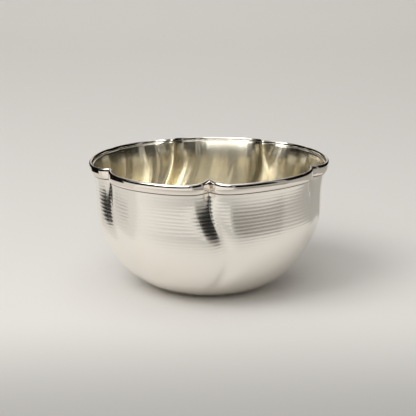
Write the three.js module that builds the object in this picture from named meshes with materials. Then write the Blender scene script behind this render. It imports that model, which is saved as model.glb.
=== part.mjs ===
// Silver bowl with five uneven lobes, a swept groove under each notch, a moulded rim and a gilt inside
import * as THREE from 'three';
import { mergeVertices } from 'three/addons/utils/BufferGeometryUtils.js';

// Whole bowl, in millimetres, with the base on z = 0 and the axis on Z
const rimHeight = 48.05; // top of the bead along a lobe
const rimRadius = 44.5; // centre of the bead along a lobe
const frontAzimuth = -90; // the first notch faces the front

// Notches, in degrees round from the front one, unevenly spaced as on the handmade bowl
const notchAngles = [0, 67.6, 145, 203, 297.1];
const notchDepths = [6.6, 4.5, 6.6, 6.6, 4.3]; // how far the bead comes in at each notch
const notchOpenings = [[4.1, 4.1], [7.5, 5], [4.1, 4.1], [4.1, 4.1], [4.5, 9]]; // degrees, its two sides
const notchRise = 0.9; // how far the bead climbs at a notch
const notchRounding = 0.8; // degrees, rounds the bottom of a notch at the rim
const firstLobeFlattening = 2.2; // the lobe after the front notch is flatter than the others

// Wall and base of the body
const sheetThickness = 0.8;
const edgeDrop = 1.5; // top edge of the sheet below the top of the bead
const edgeRadius = rimRadius + 0.1;
const waistRadius = rimRadius - 2.1; // where the straight wall meets the shoulder
const waistDrop = 18.7;
const flareSharpness = 4; // the wall flares out towards its edge
const wallLean = 0.35; // and leans out by this between the waist and the edge
const baseRadius = 15.4;
const shoulderFullness = 1.8; // exponent of the shoulder curve, 2 is an ellipse

// Grooves down the wall, measured by the drop below the rim
const beadDrop = 0.9; // a groove is as deep and sharp as its notch down to here
const underRimDrop = 4.5;
const partUnderRim = 0.79; // of the notch's depth
const slopeEndDrop = 24; // the bottom of a groove leans outwards down to here
const partAtSlopeEnd = 0.35;
const grooveRounding = 5; // degrees, at the waist
const swirlStart = 7; // from here a groove swings round the bowl
const swirlFull = 31.5;
const swirlAngle = 9.9; // degrees at the widest point
const swirlAtBase = 0.5;

// Gilt layer inside
const liningGap = 0.3;
const liningThickness = 0.25;

// Rim moulding
const beadCentre = 0.05; // out from the line of the rim
const beadHalfWidth = 0.7;
const beadHeight = 1;
const bandDrop = 3.9; // foot of the band below the top of the bead
const bandBelly = 0.35; // fullness of the band above its foot
const footGap = 0.27; // between the sheet and the inside of the foot
const footThickness = 0.2;
const neckGap = 0.23; // between the sheet's edge and the moulding outside it
const mitreGap = 0.3;

// Mesh steps
const stepsPerLobe = 16;
const stepGathering = 1.75; // steps close up towards the notches
const wallSteps = 7;
const wallGathering = 1.25; // steps close up towards the edge
const shoulderSteps = 9;
const baseSteps = 1;
const rimPathStep = 0.25;

const { degToRad, radToDeg, smoothstep, lerp, euclideanModulo } = THREE.MathUtils;
const lobeCount = notchAngles.length;
const deepestNotch = Math.max(...notchDepths);

const silver = () => new THREE.MeshStandardMaterial({ color: 0xcfcac0, metalness: 1, roughness: 0.35 });
const gilt = () => new THREE.MeshStandardMaterial({ color: 0xcdbb85, metalness: 1, roughness: 0.15 });

// Width of the lobe that follows a notch, in degrees
function lobeWidth(lobe) {
  return euclideanModulo(notchAngles[(lobe + 1) % lobeCount] - notchAngles[lobe], 360);
}

// Angle round from the front notch for a part of a lobe, 0 and 1 being its two notches
function angleInLobe(lobe, part) {
  const away = 1 - Math.abs(2 * part - 1);
  const eased = 0.5 * away ** stepGathering;
  return notchAngles[lobe] + lobeWidth(lobe) * (part < 0.5 ? eased : 1 - eased);
}

// Depth of the notches at an angle, all five summed, rounded as they are at a drop below the rim
function notched(degrees, drop) {
  const rounding = lerp(notchRounding, grooveRounding, smoothstep(drop, beadDrop, waistDrop));
  return notchAngles.reduce((sum, notch, k) => {
    const away = euclideanModulo(degrees - notch + 180, 360) - 180;
    const opening = notchOpenings[k][away < 0 ? 0 : 1];
    return sum + notchDepths[k] * Math.exp(-(Math.hypot(away, rounding) - rounding) / opening);
  }, 0);
}

// Part of a notch's depth that its groove still has at a drop below the rim
function groovePart(drop) {
  if (drop < underRimDrop) return lerp(1, partUnderRim, smoothstep(drop, beadDrop, underRimDrop));
  if (drop < slopeEndDrop) {
    const above = (slopeEndDrop - drop) / (slopeEndDrop - underRimDrop);
    return lerp(partAtSlopeEnd, partUnderRim, above ** 2);
  }
  return partAtSlopeEnd * (1 - smoothstep(drop, slopeEndDrop, rimHeight - 0.6));
}

// How far the wall lies inside the round outline, and how far the rim climbs
function pull(degrees, drop) {
  const turned = euclideanModulo(degrees, 360);
  const inFirst = turned < notchAngles[1] ? Math.sin((Math.PI * turned) / notchAngles[1]) : 0;
  const flattening = firstLobeFlattening * inFirst * (1 - smoothstep(drop, waistDrop, rimHeight));
  return flattening + groovePart(drop) * notched(degrees, drop);
}

function rise(degrees, drop) {
  const share = notched(degrees, 0) / deepestNotch;
  return notchRise * share * (1 - smoothstep(drop, beadDrop, bandDrop));
}

// Swing of the grooves round the axis
function swirl(drop) {
  const away = swirlAngle * smoothstep(drop, swirlStart, swirlFull);
  return away - (swirlAngle - swirlAtBase) * smoothstep(drop, swirlFull, rimHeight);
}

function onAzimuth(radius, degrees, height) {
  const azimuth = degToRad(frontAzimuth + degrees);
  return new THREE.Vector3(radius * Math.cos(azimuth), radius * Math.sin(azimuth), height);
}

// Radius of the round outline beside the flared wall
function wallRadius(drop) {
  const part = (drop - edgeDrop) / (waistDrop - edgeDrop);
  const base = waistRadius + wallLean * (1 - part ** (1 / wallGathering));
  return lerp(base, edgeRadius, (1 - part) ** flareSharpness);
}

// Round outline of the body: t runs from the sheet's edge to the middle of the base
const outlineSteps = wallSteps + shoulderSteps + baseSteps;

function outline(t) {
  const k = t * outlineSteps;
  if (k <= wallSteps) {
    const drop = lerp(edgeDrop, waistDrop, (k / wallSteps) ** wallGathering);
    return new THREE.Vector2(wallRadius(drop), rimHeight - drop);
  }
  if (k <= wallSteps + shoulderSteps) {
    const turn = ((k - wallSteps) / shoulderSteps) * Math.PI / 2;
    const out = Math.max(Math.cos(turn), 0) ** (2 / shoulderFullness);
    const down = Math.sin(turn) ** (2 / shoulderFullness);
    return new THREE.Vector2(
      lerp(baseRadius, waistRadius, out),
      (rimHeight - waistDrop) * (1 - down),
    );
  }
  return new THREE.Vector2(baseRadius * (1 - (k - wallSteps - shoulderSteps) / baseSteps), 0);
}

// Point on the outside of the body at t down the outline and an angle from the front notch
function skin(t, degrees) {
  const here = outline(t);
  const step = 1e-3;
  const along = outline(Math.min(t + step, 1)).sub(outline(Math.max(t - step, 0))).normalize();
  const drop = rimHeight - here.y;
  const out = drop < waistDrop ? new THREE.Vector2(1, 0) : new THREE.Vector2(-along.y, along.x);
  const inwards = pull(degrees, drop);
  const radius = here.x - inwards * out.x;
  const height = here.y - inwards * out.y + rise(degrees, drop);
  return onAzimuth(radius, degrees + swirl(drop), height);
}

// The same point moved inwards, square to the sheet
function insetSkin(t, degrees, inset) {
  const point = skin(t, degrees);
  if (inset === 0) return point;
  const dt = 2e-3;
  const turn = 0.05;
  const down = skin(Math.min(t + dt, 1), degrees).sub(skin(Math.max(t - dt, 0), degrees));
  const round = skin(t, degrees + turn).sub(skin(t, degrees - turn));
  const moved = point.clone().addScaledVector(down.cross(round).normalize(), -inset);
  if (t === 0) moved.z = point.z;
  return moved;
}

// Closed mesh with shared corners and without flat triangles
function welded(geometry) {
  geometry.deleteAttribute('normal');
  geometry.deleteAttribute('uv');
  const merged = mergeVertices(geometry, 1e-4);
  const order = merged.getIndex().array;
  const kept = [];
  for (let i = 0; i < order.length; i += 3) {
    const [a, b, c] = order.slice(i, i + 3);
    if (a !== b && b !== c && c !== a) kept.push(a, b, c);
  }
  merged.setIndex(kept);
  merged.computeVertexNormals();
  return merged;
}

// Shell between two insets of the outside surface: a turned bowl whose wall is then pressed in
function pressedShell(outerInset, innerInset) {
  const rows = [];
  for (let k = outlineSteps; k >= 0; k -= 1) rows.push({ t: k / outlineSteps, inset: outerInset });
  for (let k = 0; k <= outlineSteps; k += 1) rows.push({ t: k / outlineSteps, inset: innerInset });
  const profile = rows.map(({ t, inset }) => outline(t).add(new THREE.Vector2(0, inset)));
  const turned = new THREE.LatheGeometry(profile, lobeCount * stepsPerLobe);
  const position = turned.getAttribute('position');
  const uv = turned.getAttribute('uv');
  for (let i = 0; i < position.count; i += 1) {
    const round = Math.round(uv.getX(i) * lobeCount * stepsPerLobe) % (lobeCount * stepsPerLobe);
    const { t, inset } = rows[Math.round(uv.getY(i) * (rows.length - 1))];
    const degrees = angleInLobe(Math.floor(round / stepsPerLobe), (round % stepsPerLobe) / stepsPerLobe);
    const point = t === 1 ? new THREE.Vector3(0, 0, inset) : insetSkin(t, degrees, inset);
    position.setXYZ(i, point.x, point.y, point.z);
  }
  return welded(turned);
}

// Plan of the rim at a drop below its top
function rimPlan(drop) {
  const plan = [];
  for (let degrees = 0; degrees < 360; degrees += rimPathStep) {
    plan.push(onAzimuth(rimRadius - pull(degrees, drop), degrees, 0));
  }
  return plan;
}

// Distance from the axis to that plan moved sideways, as a ball of that size rolls along it
function movedRim(plan, degrees, drop, sideways) {
  const plain = rimRadius - pull(degrees, drop) + sideways;
  const reach = Math.abs(sideways);
  if (reach < 0.2) return plain;
  const ray = onAzimuth(1, degrees, 0);
  const reaches = plan.map((point) => {
    const along = point.dot(ray);
    const aside = point.distanceToSquared(ray.clone().multiplyScalar(along));
    if (along < 0 || aside > reach * reach) return NaN;
    return along + Math.sign(sideways) * Math.sqrt(reach * reach - aside);
  }).filter((value) => !Number.isNaN(value));
  if (reaches.length === 0) return plain;
  return sideways > 0 ? Math.max(...reaches) : Math.min(...reaches);
}

// Section of the moulding: an oval bead that runs down into a leaning band, thick at the foot
function mouldingSection() {
  const section = new THREE.Shape();
  const outside = beadCentre + beadHalfWidth;
  const edge = edgeRadius - rimRadius;
  const foot = wallRadius(bandDrop) - rimRadius + footGap;
  section.absellipse(beadCentre, -beadHeight, beadHalfWidth, beadHeight, 0, Math.PI, false);
  section.lineTo(beadCentre - beadHalfWidth / 2, -edgeDrop + neckGap);
  section.lineTo(edge + neckGap / 2, neckGap - edgeDrop);
  section.lineTo(edge + neckGap, -edgeDrop);
  section.lineTo(foot, -bandDrop);
  section.lineTo(foot + footThickness, -bandDrop);
  section.bezierCurveTo(
    foot + footThickness + 2 * bandBelly, -bandDrop + 2 * bandBelly,
    outside, -beadHeight - 4 * bandBelly,
    outside, -beadHeight,
  );
  return section;
}

// One length of moulding: the section drawn out straight, then bent over a lobe between two mitres
function mouldingLength(lobe) {
  const drawn = new THREE.ExtrudeGeometry(mouldingSection(), {
    depth: 1, steps: stepsPerLobe, curveSegments: 5, bevelEnabled: false,
  });
  const plans = new Map();
  const position = drawn.getAttribute('position');
  for (let i = 0; i < position.count; i += 1) {
    const sideways = position.getX(i);
    const height = position.getY(i);
    if (!plans.has(height)) plans.set(height, rimPlan(-height));
    const plan = plans.get(height);
    const halfGap = radToDeg(mitreGap / 2 / (rimRadius - deepestNotch));
    const start = notchAngles[lobe] + halfGap;
    const end = notchAngles[lobe] + lobeWidth(lobe) - halfGap;
    const degrees = THREE.MathUtils.clamp(angleInLobe(lobe, 1 - position.getZ(i)), start, end);
    const radius = movedRim(plan, degrees, -height, sideways);
    const point = onAzimuth(radius, degrees, rimHeight + height + rise(degrees, -height));
    position.setXYZ(i, point.x, point.y, point.z);
  }
  return welded(drawn);
}

function piece(name, geometry, material) {
  const mesh = new THREE.Mesh(geometry, material);
  mesh.name = name;
  return mesh;
}

const bowl = new THREE.Group();
bowl.name = 'silver_bowl';

bowl.add(piece('bowl_body', pressedShell(0, sheetThickness), silver()));

const liningOuter = sheetThickness + liningGap;
bowl.add(piece('gilt_lining', pressedShell(liningOuter, liningOuter + liningThickness), gilt()));

for (let lobe = 0; lobe < lobeCount; lobe += 1) {
  bowl.add(piece(`rim_moulding_${lobe + 1}`, mouldingLength(lobe), silver()));
}

export default bowl;
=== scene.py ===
import math

import bmesh
import bpy
from mathutils import Matrix, Vector
from mathutils.geometry import interpolate_bezier


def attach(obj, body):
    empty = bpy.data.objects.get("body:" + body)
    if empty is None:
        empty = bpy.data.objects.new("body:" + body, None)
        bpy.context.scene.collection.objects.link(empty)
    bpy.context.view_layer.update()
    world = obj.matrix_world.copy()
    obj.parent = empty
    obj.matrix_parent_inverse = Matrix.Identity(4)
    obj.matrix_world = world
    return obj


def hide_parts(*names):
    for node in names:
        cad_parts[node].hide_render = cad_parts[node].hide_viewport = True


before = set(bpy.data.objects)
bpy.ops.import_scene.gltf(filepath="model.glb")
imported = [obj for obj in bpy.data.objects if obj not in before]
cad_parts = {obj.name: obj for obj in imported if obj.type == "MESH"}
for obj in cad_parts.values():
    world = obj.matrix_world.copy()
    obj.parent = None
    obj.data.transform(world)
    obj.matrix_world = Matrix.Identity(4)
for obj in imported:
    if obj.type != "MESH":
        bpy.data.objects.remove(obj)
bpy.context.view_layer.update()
print("frame loaded")

mm = 0.001  # sizes below are in millimetres, the scene is in metres


# small helpers

def lerp(a, b, t):
    return a + (b - a) * t


def smoothstep(x, low, high):
    t = min(max((x - low) / (high - low), 0.0), 1.0)
    return t * t * (3 - 2 * t)


def hexColour(code):
    channels = [int(code[i:i + 2], 16) / 255 for i in (1, 3, 5)]
    return [c / 12.92 if c <= 0.04045 else ((c + 0.055) / 1.055) ** 2.4 for c in channels] + [1.0]


def addNode(tree, kind, inputs=None, **settings):
    # an input takes a value, or another node's output to link
    node = tree.nodes.new(kind)
    for name, value in settings.items():
        setattr(node, name, value)
    for name, value in (inputs or {}).items():
        if isinstance(value, bpy.types.NodeSocket):
            tree.links.new(value, node.inputs[name])
        else:
            node.inputs[name].default_value = value
    return node


def newMaterial(name):
    material = bpy.data.materials.new(name)
    material.use_nodes = True
    material.node_tree.nodes.clear()
    return material, material.node_tree


def extruded(bm, edges):
    grown = bmesh.ops.extrude_edge_only(bm, edges=edges)["geom"]
    verts = [g for g in grown if isinstance(g, bmesh.types.BMVert)]
    return verts, [g for g in grown if isinstance(g, bmesh.types.BMEdge)]


def addPiece(name, bm, material):
    mesh = bpy.data.meshes.new(name)
    bm.to_mesh(mesh)
    bm.free()
    mesh.shade_smooth()
    mesh.materials.append(material)
    piece = bpy.data.objects.new(name, mesh)
    bpy.context.collection.objects.link(piece)
    return piece


# camera, from the photograph's perspective

shot = {
    "place": (-0.5, -434.3, 140.2),
    "pitch": 14.37,  # degrees below level
    "roll": -0.29,
    "lens": 101.9,
    "sensor": 36,
    "clipStart": 10,
}

cameraData = bpy.data.cameras.new("camera")
cameraData.lens = shot["lens"]
cameraData.sensor_width = shot["sensor"]
cameraData.clip_start = shot["clipStart"] * mm
camera = bpy.data.objects.new("camera", cameraData)
bpy.context.collection.objects.link(camera)
camera.matrix_world = (
    Matrix.Translation(Vector(shot["place"]) * mm)
    @ Matrix.Rotation(math.radians(90 - shot["pitch"]), 4, "X")
    @ Matrix.Rotation(math.radians(shot["roll"]), 4, "Z")
)
bpy.context.scene.camera = camera
print("camera set")


# floor, cloths, papers and lights

studio = {
    "floorColour": "#E9E6E1",
    # painted shade: the paper's colour towards the camera, darker than its full tone
    "floorPaintedShadeColour": "#B9B7B2",
    "paintedShadeFull": -135,    # where the painted shade on the paper is darkest, and where it ends at the paper's full tone
    "paintedShadeEnd": -40,
    "floorHalfWidth": 1300,
    "floorFront": -1300,
    "sweepStart": 800,
    "sweepRadius": 400,
    "sweepSteps": 12,
    "wallHeight": 1000,
    "mattRoughness": 0.9,
    "mattShine": 0.1,
    "clothColour": "#100F0E",
    "paperLift": 0.5,      # papers lie this far above the floor
    "sheetSteps": 12,
    "worldColour": "#FFFEFC",
    "worldStrength": 0.31,
}


def finishMatt(tree, colour):
    shader = addNode(tree, "ShaderNodeBsdfPrincipled", {
        "Base Color": colour, "Roughness": studio["mattRoughness"],
        "Specular IOR Level": studio["mattShine"],
    })
    addNode(tree, "ShaderNodeOutputMaterial", {"Surface": shader.outputs["BSDF"]})


# seamless studio paper, with painted shade that darkens it a little towards the camera: no shine, only soft
# shade
paper, tree = newMaterial("matt paper with painted front shade")
place = addNode(tree, "ShaderNodeTexCoord")
split = addNode(tree, "ShaderNodeSeparateXYZ", {"Vector": place.outputs["Object"]})
frontShade = addNode(tree, "ShaderNodeMapRange", {
    "Value": split.outputs["Y"],
    "From Min": studio["paintedShadeFull"] * mm, "From Max": studio["paintedShadeEnd"] * mm,
}, interpolation_type="SMOOTHSTEP")
# painted shade: this mix darkens the paper towards the camera
colour = addNode(tree, "ShaderNodeMix", {"Factor": frontShade.outputs["Result"]}, data_type="RGBA")
colour.inputs[6].default_value = hexColour(studio["floorPaintedShadeColour"])
colour.inputs[7].default_value = hexColour(studio["floorColour"])
finishMatt(tree, colour.outputs[2])

bm = bmesh.new()
sweep = [(studio["floorFront"], 0), (studio["sweepStart"], 0)]
for step in range(1, studio["sweepSteps"] + 1):
    turn = math.radians(90) * step / studio["sweepSteps"]
    sweep.append((
        studio["sweepStart"] + studio["sweepRadius"] * math.sin(turn),
        studio["sweepRadius"] * (1 - math.cos(turn)),
    ))
sweep.append((sweep[-1][0], studio["wallHeight"]))
edge = [bm.verts.new((-studio["floorHalfWidth"] * mm, y * mm, z * mm)) for y, z in sweep]
strip = [bm.edges.new(pair) for pair in zip(edge, edge[1:])]
bmesh.ops.translate(bm, vec=(2 * studio["floorHalfWidth"] * mm, 0, 0), verts=extruded(bm, strip)[0])
bmesh.ops.recalc_face_normals(bm, faces=bm.faces)
floor = addPiece("studio_floor", bm, paper)


def addSheet(name, material, place, lift, depth, height):
    # a sheet round a part of the bowl, which only the silver sees. its place: first and last
    # azimuth from the camera to the right, distance at each of them
    first, last, near, far = place
    bm = bmesh.new()
    foot = []
    for step in range(studio["sheetSteps"] + 1):
        azimuth = math.radians(lerp(first, last, step / studio["sheetSteps"]))
        distance = lerp(near, far, step / studio["sheetSteps"])
        foot.append(bm.verts.new((
            distance * math.sin(azimuth) * mm, -distance * math.cos(azimuth) * mm, lift * mm)))
    strip = [bm.edges.new(pair) for pair in zip(foot, foot[1:])]
    for vert in extruded(bm, strip)[0]:
        vert.co += vert.co.xy.normalized().to_3d() * depth * mm
        vert.co.z += height * mm
    bmesh.ops.recalc_face_normals(bm, faces=bm.faces)
    sheet = addPiece(name, bm, material)
    sheet.visible_camera = False
    sheet.visible_diffuse = False
    sheet.visible_shadow = False


blackCloth, tree = newMaterial("black cloth")  # takes up nearly all light, so it mirrors as black
finishMatt(tree, hexColour(studio["clothColour"]))

# dark cloths that stand on the floor and darken the grooves and the rim: name, place, height
cloths = [
    ("cloth_right_front", (21, 68, 640, 640), 500),
    ("cloth_near_left", (-128, -84, 188, 188), 64),
    ("cloth_front", (-95, 14, 1150, 1150), 560),
    ("cloth_left", (-165, -95, 900, 900), 900),
    ("cloth_right", (78, 165, 900, 900), 900),
]
for name, place, height in cloths:
    addSheet(name, blackCloth, place, 0, 0, height)

# papers that tone the wall from below, and a low grey strip that stands on the right one: name,
# place, depth from the inner to the outer edge, height, colour
papers = [
    # painted shadow: the grey paper and the low grey strip stand in for the bowl's shadow and the shade on
    # the floor at its right, seen only in the wall
    ("painted_shadow_paper", (18, 134, 150, 96), 500, 0, "#B8B5B0"),
    ("painted_shade_strip", (22, 70, 170, 115), 0, 20, "#A4A19C"),
    ("pale_paper", (-68, 16, 135, 150), 900, 0, "#EBE8E3"),
    ("dull_paper", (-122, -68, 96, 76), 400, 0, "#DAD7D2"),
]
for name, place, depth, height, tone in papers:
    mattPaper, tree = newMaterial(f"matt {name.replace('_', ' ')}")
    finishMatt(tree, hexColour(tone))
    addSheet(name, mattPaper, place, studio["paperLift"], depth, height)

# each light: name, place, point it is turned to, width, height, watts
lights = [
    ("key_left", (-690, -410, 1010), (0, 0, 20), 700, 700, 6.0),
    ("key_front", (-215, -482, 500), (0, 0, 20), 660, 360, 1.4),
    ("softbox_over", (60, 0, 800), (60, 0, 0), 700, 700, 1.1),
    ("wash_over_back", (0, 850, 650), (0, 850, 0), 1600, 400, 1.45),
]
for name, place, target, width, height, watts in lights:
    lampData = bpy.data.lights.new(name, "AREA")
    lampData.shape = "RECTANGLE"
    lampData.size = width * mm
    lampData.size_y = height * mm
    lampData.energy = watts
    lamp = bpy.data.objects.new(name, lampData)
    bpy.context.collection.objects.link(lamp)
    lamp.location = Vector(place) * mm
    lamp.rotation_euler = (Vector(place) - Vector(target)).to_track_quat("Z", "Y").to_euler()

world = bpy.data.worlds.new("studio")
bpy.context.scene.world = world
world.use_nodes = True
background = world.node_tree.nodes["Background"]
background.inputs["Color"].default_value = hexColour(studio["worldColour"])
background.inputs["Strength"].default_value = studio["worldStrength"]
bpy.context.scene.view_settings.view_transform = "Standard"
print("studio set")


# form of the bowl, as in the CAD apart from its grooves, which are a little tighter here

bowl = {
    "rimHeight": 48.05,           # top of the bead along a lobe
    "rimRadius": 44.5,            # centre of the bead along a lobe
    "frontAzimuth": -90.0,        # of the first notch
    "notches": [0.0, 67.6, 145.0, 203.0, 297.1],  # degrees round from the front one
    "notchDepths": [6.6, 4.5, 6.6, 6.6, 4.3],
    "notchOpenings": [(4.1, 4.1), (7.5, 5.0), (4.1, 4.1), (4.1, 4.1), (4.5, 9.0)],  # degrees
    "notchRise": 0.9,
    "notchRounding": 0.8,         # degrees
    "firstLobeFlattening": 2.2,
    "edgeDrop": 1.5,              # drops are measured down from the top of the bead
    "edgeRadius": 44.6,
    "waistRadius": 42.4,
    "waistDrop": 18.7,
    "flareSharpness": 4,
    "wallLean": 0.35,
    "wallGathering": 1.25,        # steps close up towards the edge
    "lobeGathering": 1.6,         # and towards the notches
    "baseRadius": 15.4,
    "shoulderFullness": 1.8,
    "beadDrop": 0.9,
    "bandDrop": 3.9,
    "underRimDrop": 4.5,
    "partUnderRim": 0.79,         # of a notch's depth, left in its groove
    "slopeEndDrop": 24.0,
    "partAtSlopeEnd": 0.35,
    "grooveEnd": 0.6,             # above the base
    "grooveRounding": 5.0,        # degrees
    "grooveNarrowings": [0.5, 1.0, 0.6, 0.6, 0.6],  # of the notches' openings, at the waist
    "swirlStart": 7.0,
    "swirlFull": 31.5,
    "swirl": 9.9,                 # degrees towards the right at the front
    "swirlAtBase": 0.5,
}


def lobeWidth(lobe):
    notches = bowl["notches"]
    return (notches[(lobe + 1) % len(notches)] - notches[lobe]) % 360


def angleInLobe(lobe, part):
    # the lobe's two notches are at part 0 and 1
    eased = 0.5 * (1 - abs(2 * part - 1)) ** bowl["lobeGathering"]
    return bowl["notches"][lobe] + lobeWidth(lobe) * (eased if part < 0.5 else 1 - eased)


def notched(degrees, drop):
    # depth of the notches at an angle, rounded as they are at a drop below the rim
    rounding = lerp(
        bowl["notchRounding"], bowl["grooveRounding"], smoothstep(drop, bowl["beadDrop"], bowl["waistDrop"]))
    below = smoothstep(drop, bowl["bandDrop"], bowl["waistDrop"])
    depth = 0.0
    for notch, full, openings, narrowing in zip(
            bowl["notches"], bowl["notchDepths"], bowl["notchOpenings"], bowl["grooveNarrowings"]):
        away = (degrees - notch + 180) % 360 - 180
        opening = openings[0 if away < 0 else 1] * lerp(1, narrowing, below)
        depth += full * math.exp(-(math.hypot(away, rounding) - rounding) / opening)
    return depth


def groovePart(drop):
    # part of a notch's depth that its groove still has
    if drop < bowl["underRimDrop"]:
        return lerp(1, bowl["partUnderRim"], smoothstep(drop, bowl["beadDrop"], bowl["underRimDrop"]))
    if drop < bowl["slopeEndDrop"]:
        above = (bowl["slopeEndDrop"] - drop) / (bowl["slopeEndDrop"] - bowl["underRimDrop"])
        return lerp(bowl["partAtSlopeEnd"], bowl["partUnderRim"], above ** 3)
    lowest = bowl["rimHeight"] - bowl["grooveEnd"]
    return bowl["partAtSlopeEnd"] * (1 - smoothstep(drop, bowl["slopeEndDrop"], lowest))


def pull(degrees, drop):
    # how far the wall lies inside the round outline
    turned = degrees % 360
    firstLobe = bowl["notches"][1]
    inFirst = math.sin(math.pi * turned / firstLobe) if turned < firstLobe else 0.0
    flattening = bowl["firstLobeFlattening"] * inFirst
    flattening *= 1 - smoothstep(drop, bowl["waistDrop"], bowl["rimHeight"])
    return flattening + groovePart(drop) * notched(degrees, drop)


def rise(degrees, drop):
    share = notched(degrees, 0) / max(bowl["notchDepths"])
    return bowl["notchRise"] * share * (1 - smoothstep(drop, bowl["beadDrop"], bowl["bandDrop"]))


def swirl(drop):
    away = bowl["swirl"] * smoothstep(drop, bowl["swirlStart"], bowl["swirlFull"])
    back = (bowl["swirl"] - bowl["swirlAtBase"]) * smoothstep(drop, bowl["swirlFull"], bowl["rimHeight"])
    return away - back


def wallRadius(drop):
    part = (drop - bowl["edgeDrop"]) / (bowl["waistDrop"] - bowl["edgeDrop"])
    base = bowl["waistRadius"] + bowl["wallLean"] * (1 - part ** (1 / bowl["wallGathering"]))
    return lerp(base, bowl["edgeRadius"], (1 - part) ** bowl["flareSharpness"])


def bowlOutline(wallSteps, shoulderSteps, baseSteps):
    points = []
    for k in range(wallSteps):
        drop = lerp(bowl["edgeDrop"], bowl["waistDrop"], (k / wallSteps) ** bowl["wallGathering"])
        points.append((wallRadius(drop), bowl["rimHeight"] - drop))
    for k in range(shoulderSteps + 1):
        turn = math.radians(90) * k / shoulderSteps
        out = max(math.cos(turn), 0) ** (2 / bowl["shoulderFullness"])
        down = math.sin(turn) ** (2 / bowl["shoulderFullness"])
        points.append((
            lerp(bowl["baseRadius"], bowl["waistRadius"], out),
            (bowl["rimHeight"] - bowl["waistDrop"]) * (1 - down),
        ))
    for k in range(1, baseSteps + 1):
        points.append((bowl["baseRadius"] * (1 - k / baseSteps), 0.0))
    return points


onAxis = 1e-7  # metres. a point nearer to the axis than this is the middle of the base
weldDistance = 1e-6


def spunSkin(steps):
    # one wall of the bowl: its outline spun round, then notched, grooved and swung
    bm = bmesh.new()
    downLayer = bm.verts.layers.float.new("down")
    turnLayer = bm.verts.layers.float.new("turn")
    points = bowlOutline(*steps["outline"])
    length = 0.0
    profile = []
    for k, (radius, height) in enumerate(points):
        vert = bm.verts.new((radius * mm, 0, height * mm))
        length += math.dist(points[k], points[k - 1]) if k else 0.0
        vert[downLayer] = length
        profile.append(vert)
    edges = [bm.edges.new(pair) for pair in zip(profile, profile[1:])]
    lobes = len(bowl["notches"])
    bmesh.ops.spin(
        bm, geom=profile + edges, cent=(0, 0, 0), axis=(0, 0, 1), angle=math.radians(360),
        steps=lobes * steps["perLobe"], use_merge=True)
    bmesh.ops.remove_doubles(bm, verts=bm.verts, dist=weldDistance)
    bmesh.ops.recalc_face_normals(bm, faces=bm.faces)
    side = max(bm.faces, key=lambda face: face.calc_center_median().z)
    if side.normal.dot(side.calc_center_median()) < 0:
        bmesh.ops.reverse_faces(bm, faces=bm.faces)
    bm.normal_update()
    for vert in bm.verts:
        if vert.co.xy.length < onAxis:
            continue
        even = math.degrees(math.atan2(vert.co.y, vert.co.x)) % 360
        lobe, part = divmod(round(even / 360 * lobes * steps["perLobe"]) / steps["perLobe"], 1)
        degrees = angleInLobe(int(lobe) % lobes, part)
        drop = bowl["rimHeight"] - vert.co.z / mm
        out = vert.normal
        if drop < bowl["waistDrop"]:
            out = Vector((vert.co.x, vert.co.y, 0)).normalized()
        vert.co -= out * pull(degrees, drop) * mm
        vert.co.z += rise(degrees, drop) * mm
        turned = bowl["frontAzimuth"] + degrees + swirl(drop) - even
        vert.co.rotate(Matrix.Rotation(math.radians(turned), 3, "Z"))
        vert[turnLayer] = degrees
    bm.normal_update()
    return bm


def layFinishMap(bm):
    # map in millimetres: along the bowl's edge, and down its outline
    downLayer = bm.verts.layers.float["down"]
    turnLayer = bm.verts.layers.float["turn"]
    uvLayer = bm.loops.layers.uv.new("finish")
    for face in bm.faces:
        turns = [loop.vert[turnLayer] for loop in face.loops if loop.vert.co.xy.length > onAxis]
        middle = sum(turns) / len(turns)
        if max(turns) - min(turns) > 180:
            middle = 360.0
        for loop in face.loops:
            turn = loop.vert[turnLayer]
            if loop.vert.co.xy.length <= onAxis:
                turn = middle
            elif middle - turn > 180:
                turn += 360
            loop[uvLayer].uv = (math.radians(turn) * bowl["rimRadius"], loop.vert[downLayer])


grainTurn = 0.25  # of a full turn: the sheen is drawn out square to the tangent


def finishGrained(tree, finish, height, depth):
    # metal with a drawn-out sheen and a fine relief
    bump = addNode(tree, "ShaderNodeBump", {"Height": height, "Distance": depth * mm, "Strength": 1.0})
    tangent = addNode(tree, "ShaderNodeTangent", direction_type="UV_MAP", uv_map="finish")
    shader = addNode(tree, "ShaderNodeBsdfPrincipled", {
        "Base Color": hexColour(finish["colour"]), "Metallic": 1.0, "Roughness": finish["roughness"],
        "Anisotropic": finish["anisotropy"], "Anisotropic Rotation": grainTurn,
        "Normal": bump.outputs["Normal"], "Tangent": tangent.outputs["Tangent"],
    })
    addNode(tree, "ShaderNodeOutputMaterial", {"Surface": shader.outputs["BSDF"]})


# sterling silver, spun or planished to shape and left with its tool lines: fine level lines
# that tilt the sheen up and down, so dark reflections break up into level dashes
silverFinish = {
    "colour": "#FBF7F0",
    "roughness": 0.2,
    "linePitch": 1.3,      # mm from one tool line to the next
    "lineDepth": 0.017,    # mm
    "lineLength": 40.0,    # mm along the wall before a line wanders
    "wander": 2.5,
    "anisotropy": 0.45,
}
waveUnit = math.tau / 20  # one wave of the texture, at a scale of 1

silver, tree = newMaterial("sterling silver with tool lines")
finishMap = addNode(tree, "ShaderNodeUVMap", uv_map="finish")
lineScale = addNode(tree, "ShaderNodeMapping", {
    "Vector": finishMap.outputs["UV"],
    "Scale": (1 / silverFinish["lineLength"], waveUnit / silverFinish["linePitch"], 1),
})
lines = addNode(tree, "ShaderNodeTexWave", {
    "Vector": lineScale.outputs["Vector"], "Scale": 1.0, "Distortion": silverFinish["wander"],
    "Detail": 1.0, "Detail Scale": 1.5,
}, bands_direction="Y")
finishGrained(tree, silverFinish, lines.outputs["Fac"], silverFinish["lineDepth"])

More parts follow.
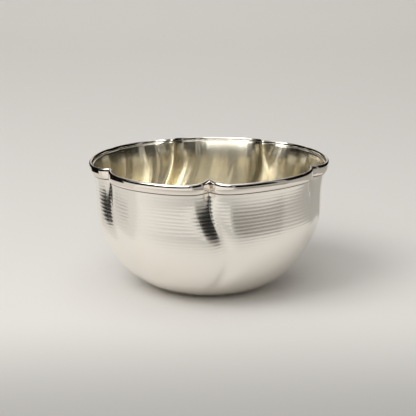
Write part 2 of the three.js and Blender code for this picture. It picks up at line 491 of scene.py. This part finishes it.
# gilding: a thin, pale yellow gold layer over the same sheet, polished
giltFinish = {
    "colour": "#F7F0DC",
    "roughness": 0.2,
    "anisotropy": 0.95,
    "fluteWidth": 3.5,     # mm, between the soft upright waves that hammering left
    "fluteDepth": 0.1,
    "fluteLength": 30.0,
    "fluteFade": 42.0,     # mm down the outline from the edge, where the waves start to fade
    "fluteEnd": 56.0,
}

gilt, tree = newMaterial("pale gilding over silver")
finishMap = addNode(tree, "ShaderNodeUVMap", uv_map="finish")
fluteScale = addNode(tree, "ShaderNodeMapping", {
    "Vector": finishMap.outputs["UV"],
    "Scale": (1 / giltFinish["fluteWidth"], 1 / giltFinish["fluteLength"], 1),
})
flutes = addNode(tree, "ShaderNodeTexNoise", {
    "Vector": fluteScale.outputs["Vector"], "Scale": 1.0, "Detail": 1.0, "Roughness": 0.5,
}, noise_dimensions="2D")
down = addNode(tree, "ShaderNodeSeparateXYZ", {"Vector": finishMap.outputs["UV"]})
fade = addNode(tree, "ShaderNodeMapRange", {
    "Value": down.outputs["Y"], "From Min": giltFinish["fluteFade"],
    "From Max": giltFinish["fluteEnd"], "To Min": 1.0, "To Max": 0.0,
}, interpolation_type="SMOOTHSTEP")
waves = addNode(tree, "ShaderNodeMath", {
    0: flutes.outputs["Fac"], 1: fade.outputs["Result"],
}, operation="MULTIPLY")
finishGrained(tree, giltFinish, waves.outputs["Value"], giltFinish["fluteDepth"])

# drawn silver wire, polished: a mirror with sharp bright lights, and a dark brown line along the foot of the
# band, partly tarnish where the cloth never reaches and partly painted shade in the crease against the wall
rimFinish = {
    "colour": "#F7F0E7",
    "roughness": 0.09,
    "tarnishAndShadeColour": "#54422F",
    "tarnishAndShadeTop": 3.35,    # mm below the top of the bead
    "tarnishAndShadeFull": 3.65,
}

rimSilver, tree = newMaterial("polished silver wire")
finishMap = addNode(tree, "ShaderNodeUVMap", uv_map="finish")
place = addNode(tree, "ShaderNodeSeparateXYZ", {"Vector": finishMap.outputs["UV"]})
# the brown colour below this drop is tarnish together with painted shade of the crease at the band's foot
tarnishAndShade = addNode(tree, "ShaderNodeMapRange", {
    "Value": place.outputs["Y"], "From Min": rimFinish["tarnishAndShadeTop"], "From Max": rimFinish["tarnishAndShadeFull"],
})
colour = addNode(tree, "ShaderNodeMix", {"Factor": tarnishAndShade.outputs["Result"]}, data_type="RGBA")
colour.inputs[6].default_value = hexColour(rimFinish["colour"])
colour.inputs[7].default_value = hexColour(rimFinish["tarnishAndShadeColour"])
shader = addNode(tree, "ShaderNodeBsdfPrincipled", {
    "Base Color": colour.outputs[2], "Metallic": 1.0, "Roughness": rimFinish["roughness"],
})
addNode(tree, "ShaderNodeOutputMaterial", {"Surface": shader.outputs["BSDF"]})
print("materials made")


# bowl body: the sheet, with its wall thickness inwards

bodySheet = {
    "perLobe": 72,
    "outline": (30, 34, 5),  # steps down the wall, round the shoulder and over the base
    "thickness": 0.8,
}

bm = spunSkin(bodySheet)
layFinishMap(bm)
bowlBody = addPiece("bowl_sheet", bm, silver)
wall = bowlBody.modifiers.new("wall", "SOLIDIFY")
wall.thickness = bodySheet["thickness"] * mm
wall.offset = -1
wall.use_quality_normals = True
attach(bowlBody, "root")
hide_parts("bowl_body")
print("bowl body made")


# gilt lining: lies on the inside of the sheet, and its edge turns out under the bead

lining = {
    "perLobe": 72,
    "outline": (30, 34, 5),  # steps down the wall, round the shoulder and over the base
    "inset": 0.82,
    "thickness": 0.2,
    "edgeRise": 0.55,      # how far the edge climbs behind the bead
    "edgeOut": 0.55,
    "edgeSteps": ((0.45, 0.12), (0.55, 0.43)),  # parts of that rise and of the way out
}

bm = spunSkin(lining)
layFinishMap(bm)
moved = [(vert, vert.co - vert.normal * lining["inset"] * mm) for vert in bm.verts]
for vert, place in moved:
    if vert.is_boundary:
        place.z = vert.co.z
    vert.co = place
edgeLoop = [edge for edge in bm.edges if edge.is_boundary]
for lift, out in lining["edgeSteps"]:
    edgeVerts, edgeLoop = extruded(bm, edgeLoop)
    for vert in edgeVerts:
        away = Vector((vert.co.x, vert.co.y, 0)).normalized()
        vert.co += away * lining["edgeOut"] * out * mm
        vert.co.z += lining["edgeRise"] * lift * mm
bmesh.ops.recalc_face_normals(bm, faces=bm.faces)
side = max(bm.faces, key=lambda face: face.calc_center_median().xy.length)
if side.normal.dot(side.calc_center_median()) < 0:
    bmesh.ops.reverse_faces(bm, faces=bm.faces)
giltLining = addPiece("gilt_layer", bm, gilt)
wall = giltLining.modifiers.new("wall", "SOLIDIFY")
wall.thickness = lining["thickness"] * mm
wall.offset = -1
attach(giltLining, "root")
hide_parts("gilt_lining")
print("gilt lining made")


# rim moulding: bead and band of one drawn wire, a length over each lobe. the bead is a little
# higher than in the CAD, and the lengths meet

moulding = {
    "steps": 110,
    "beadCentre": 0.05,    # out from the line of the rim
    "beadHalfWidth": 0.7,
    "beadHeight": 1.25,
    "bandBelly": 0.35,
    "footGap": 0.2,
    "footThickness": 0.27,
    "neckGap": 0.23,
    "gap": 0.02,           # between two lengths, closed by solder
    "planStep": 0.1,       # degrees
    "searchAngle": 4,      # degrees to each side, in which the rolling ball can touch the rim
    "leastReach": 0.05,    # for smaller moves a plain step sideways will do
    "beadSteps": 32,
    "bandSteps": 25,
}


def mouldingSection():
    # out from the line of the rim, and up from the top of the bead
    centre, half, high = moulding["beadCentre"], moulding["beadHalfWidth"], moulding["beadHeight"]
    edge = bowl["edgeRadius"] - bowl["rimRadius"]
    neck, belly, foot = moulding["neckGap"], moulding["bandBelly"], -bowl["bandDrop"]
    inFoot = wallRadius(bowl["bandDrop"]) - bowl["rimRadius"] + moulding["footGap"]
    outFoot = inFoot + moulding["footThickness"]
    points = []
    for k in range(moulding["beadSteps"] + 1):
        turn = math.radians(180) * k / moulding["beadSteps"]
        points.append((centre + half * math.cos(turn), high * math.sin(turn) - high))
    points += [(centre - half / 2, neck - bowl["edgeDrop"]), (edge + neck / 2, neck - bowl["edgeDrop"])]
    points += [(edge + neck, -bowl["edgeDrop"]), (inFoot, foot)]
    band = [
        (outFoot, foot), (outFoot + 2 * belly, foot + 2 * belly),
        (centre + half, -high - 3 * belly), (centre + half, -high),
    ]
    handles = [Vector((x, z, 0)) for x, z in band]
    points += [(p.x, p.y) for p in interpolate_bezier(*handles, moulding["bandSteps"])[:-1]]
    return points


def rimPlan(drop):
    plan = []
    for k in range(round(360 / moulding["planStep"])):
        degrees = k * moulding["planStep"]
        radius = bowl["rimRadius"] - pull(degrees, drop)
        plan.append((degrees, radius))
    return plan


def movedRim(plan, degrees, drop, sideways):
    # distance to the rim's plan moved sideways, as a ball of that size rolls along it
    plain = bowl["rimRadius"] - pull(degrees, drop) + sideways
    reach = abs(sideways)
    if reach < moulding["leastReach"]:
        return plain
    first = round((degrees - moulding["searchAngle"]) / moulding["planStep"])
    best = None
    for k in range(first, first + round(2 * moulding["searchAngle"] / moulding["planStep"]) + 1):
        planAngle, radius = plan[k % len(plan)]
        away = math.radians(planAngle - degrees)
        aside = abs(radius * math.sin(away))
        if aside > reach:
            continue
        value = radius * math.cos(away) + math.copysign(math.sqrt(reach * reach - aside * aside), sideways)
        if best is None or (value > best if sideways > 0 else value < best):
            best = value
    return plain if best is None else best


section = mouldingSection()
plans = [rimPlan(-height) for out, height in section]
for lobe in range(len(bowl["notches"])):
    bm = bmesh.new()
    rowLayer = bm.verts.layers.int.new("row")
    turnLayer = bm.verts.layers.float.new("turn")
    ring = []
    for k, (out, height) in enumerate(section):
        vert = bm.verts.new(((bowl["rimRadius"] + out) * mm, 0, (bowl["rimHeight"] + height) * mm))
        vert[rowLayer] = k
        ring.append(vert)
    sides = [bm.edges.new((ring[k], ring[(k + 1) % len(ring)])) for k in range(len(ring))]
    bmesh.ops.spin(
        bm, geom=ring + sides, cent=(0, 0, 0), axis=(0, 0, 1), angle=math.radians(lobeWidth(lobe)),
        steps=moulding["steps"])
    bmesh.ops.holes_fill(bm, edges=[edge for edge in bm.edges if edge.is_boundary])
    least = math.degrees(moulding["gap"] / 2 / bowl["rimRadius"]) / lobeWidth(lobe)
    for vert in bm.verts:
        out, height = section[vert[rowLayer]]
        part = math.degrees(math.atan2(vert.co.y, vert.co.x)) / lobeWidth(lobe)
        degrees = angleInLobe(lobe, min(max(part, 0), 1))
        degrees = bowl["notches"][lobe] + lobeWidth(lobe) * min(
            max((degrees - bowl["notches"][lobe]) / lobeWidth(lobe), least), 1 - least)
        radius = movedRim(plans[vert[rowLayer]], degrees, -height, out)
        azimuth = math.radians(bowl["frontAzimuth"] + degrees)
        top = bowl["rimHeight"] + height + rise(degrees, -height)
        vert.co = Vector((radius * math.cos(azimuth), radius * math.sin(azimuth), top)) * mm
        vert[turnLayer] = degrees
    bmesh.ops.recalc_face_normals(bm, faces=bm.faces)
    uvLayer = bm.loops.layers.uv.new("finish")
    for face in bm.faces:
        for loop in face.loops:
            along = math.radians(loop.vert[turnLayer]) * bowl["rimRadius"]
            loop[uvLayer].uv = (along, -section[loop.vert[rowLayer]][1])
    length = addPiece(f"rim_wire_{lobe + 1}", bm, rimSilver)
    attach(length, "root")
    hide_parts(f"rim_moulding_{lobe + 1}")
print("rim moulding made")
